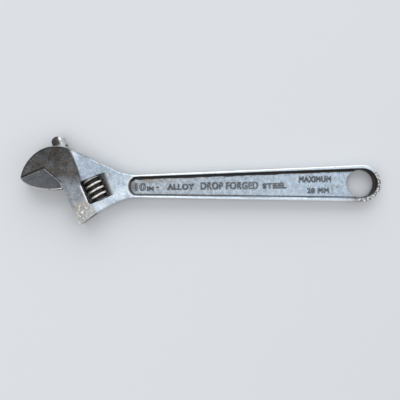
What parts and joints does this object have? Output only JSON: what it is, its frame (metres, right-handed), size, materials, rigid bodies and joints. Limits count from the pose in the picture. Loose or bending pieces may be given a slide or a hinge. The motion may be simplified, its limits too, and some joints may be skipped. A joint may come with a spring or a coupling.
{
  "type": "adjustable wrench",
  "caption": "Adjustable open-end wrench: forged I-section handle with a hang hole, a sliding jaw on a toothed rack, and a knurled worm that drives it.",
  "frame": {"origin": "centre of the hang hole on the wrench's mid plane", "axes": "+X along the handle away from the jaws; +Z square to the flat faces, towards the face with the lettering; +Y completes the frame, so the jaws open towards -Y"},
  "size_m": [0.2542, 0.0628, 0.0146],
  "materials": {
    "forged_steel": "worn satin chrome over drop-forged steel, head faces ground and stained grey-brown",
    "jaw_steel": "ground flat faces, worn grey, bright worn edges",
    "knurl_steel": "bright worn thread crests over dark oily grooves",
    "pin_steel": "plain turned steel, oily",
    "spring_steel": "dark spring wire"
  },
  "bodies": {
    "handle": {"wrench_body": "forged_steel", "knurl_pin": "pin_steel", "knurl_spring": "spring_steel"},
    "jaw": {"movable_jaw": "jaw_steel"},
    "knurl": {"knurl": "knurl_steel"}
  },
  "joints": [
    {"name": "jaw_slide", "type": "slide", "parent": "handle", "child": "jaw", "axis": [0.3827, -0.9239, 0], "range_m": [0, 0.0286]},
    {"name": "knurl_turn", "type": "hinge", "parent": "handle", "child": "knurl", "pos_m": [-0.18773, -0.00169, 0], "axis": [-0.3827, 0.9239, 0], "range_deg": [0, 2452]}
  ],
  "couplings": [
    {"joint": "knurl_turn", "follows": "jaw_slide", "rad_per_m": 1496}
  ]
}
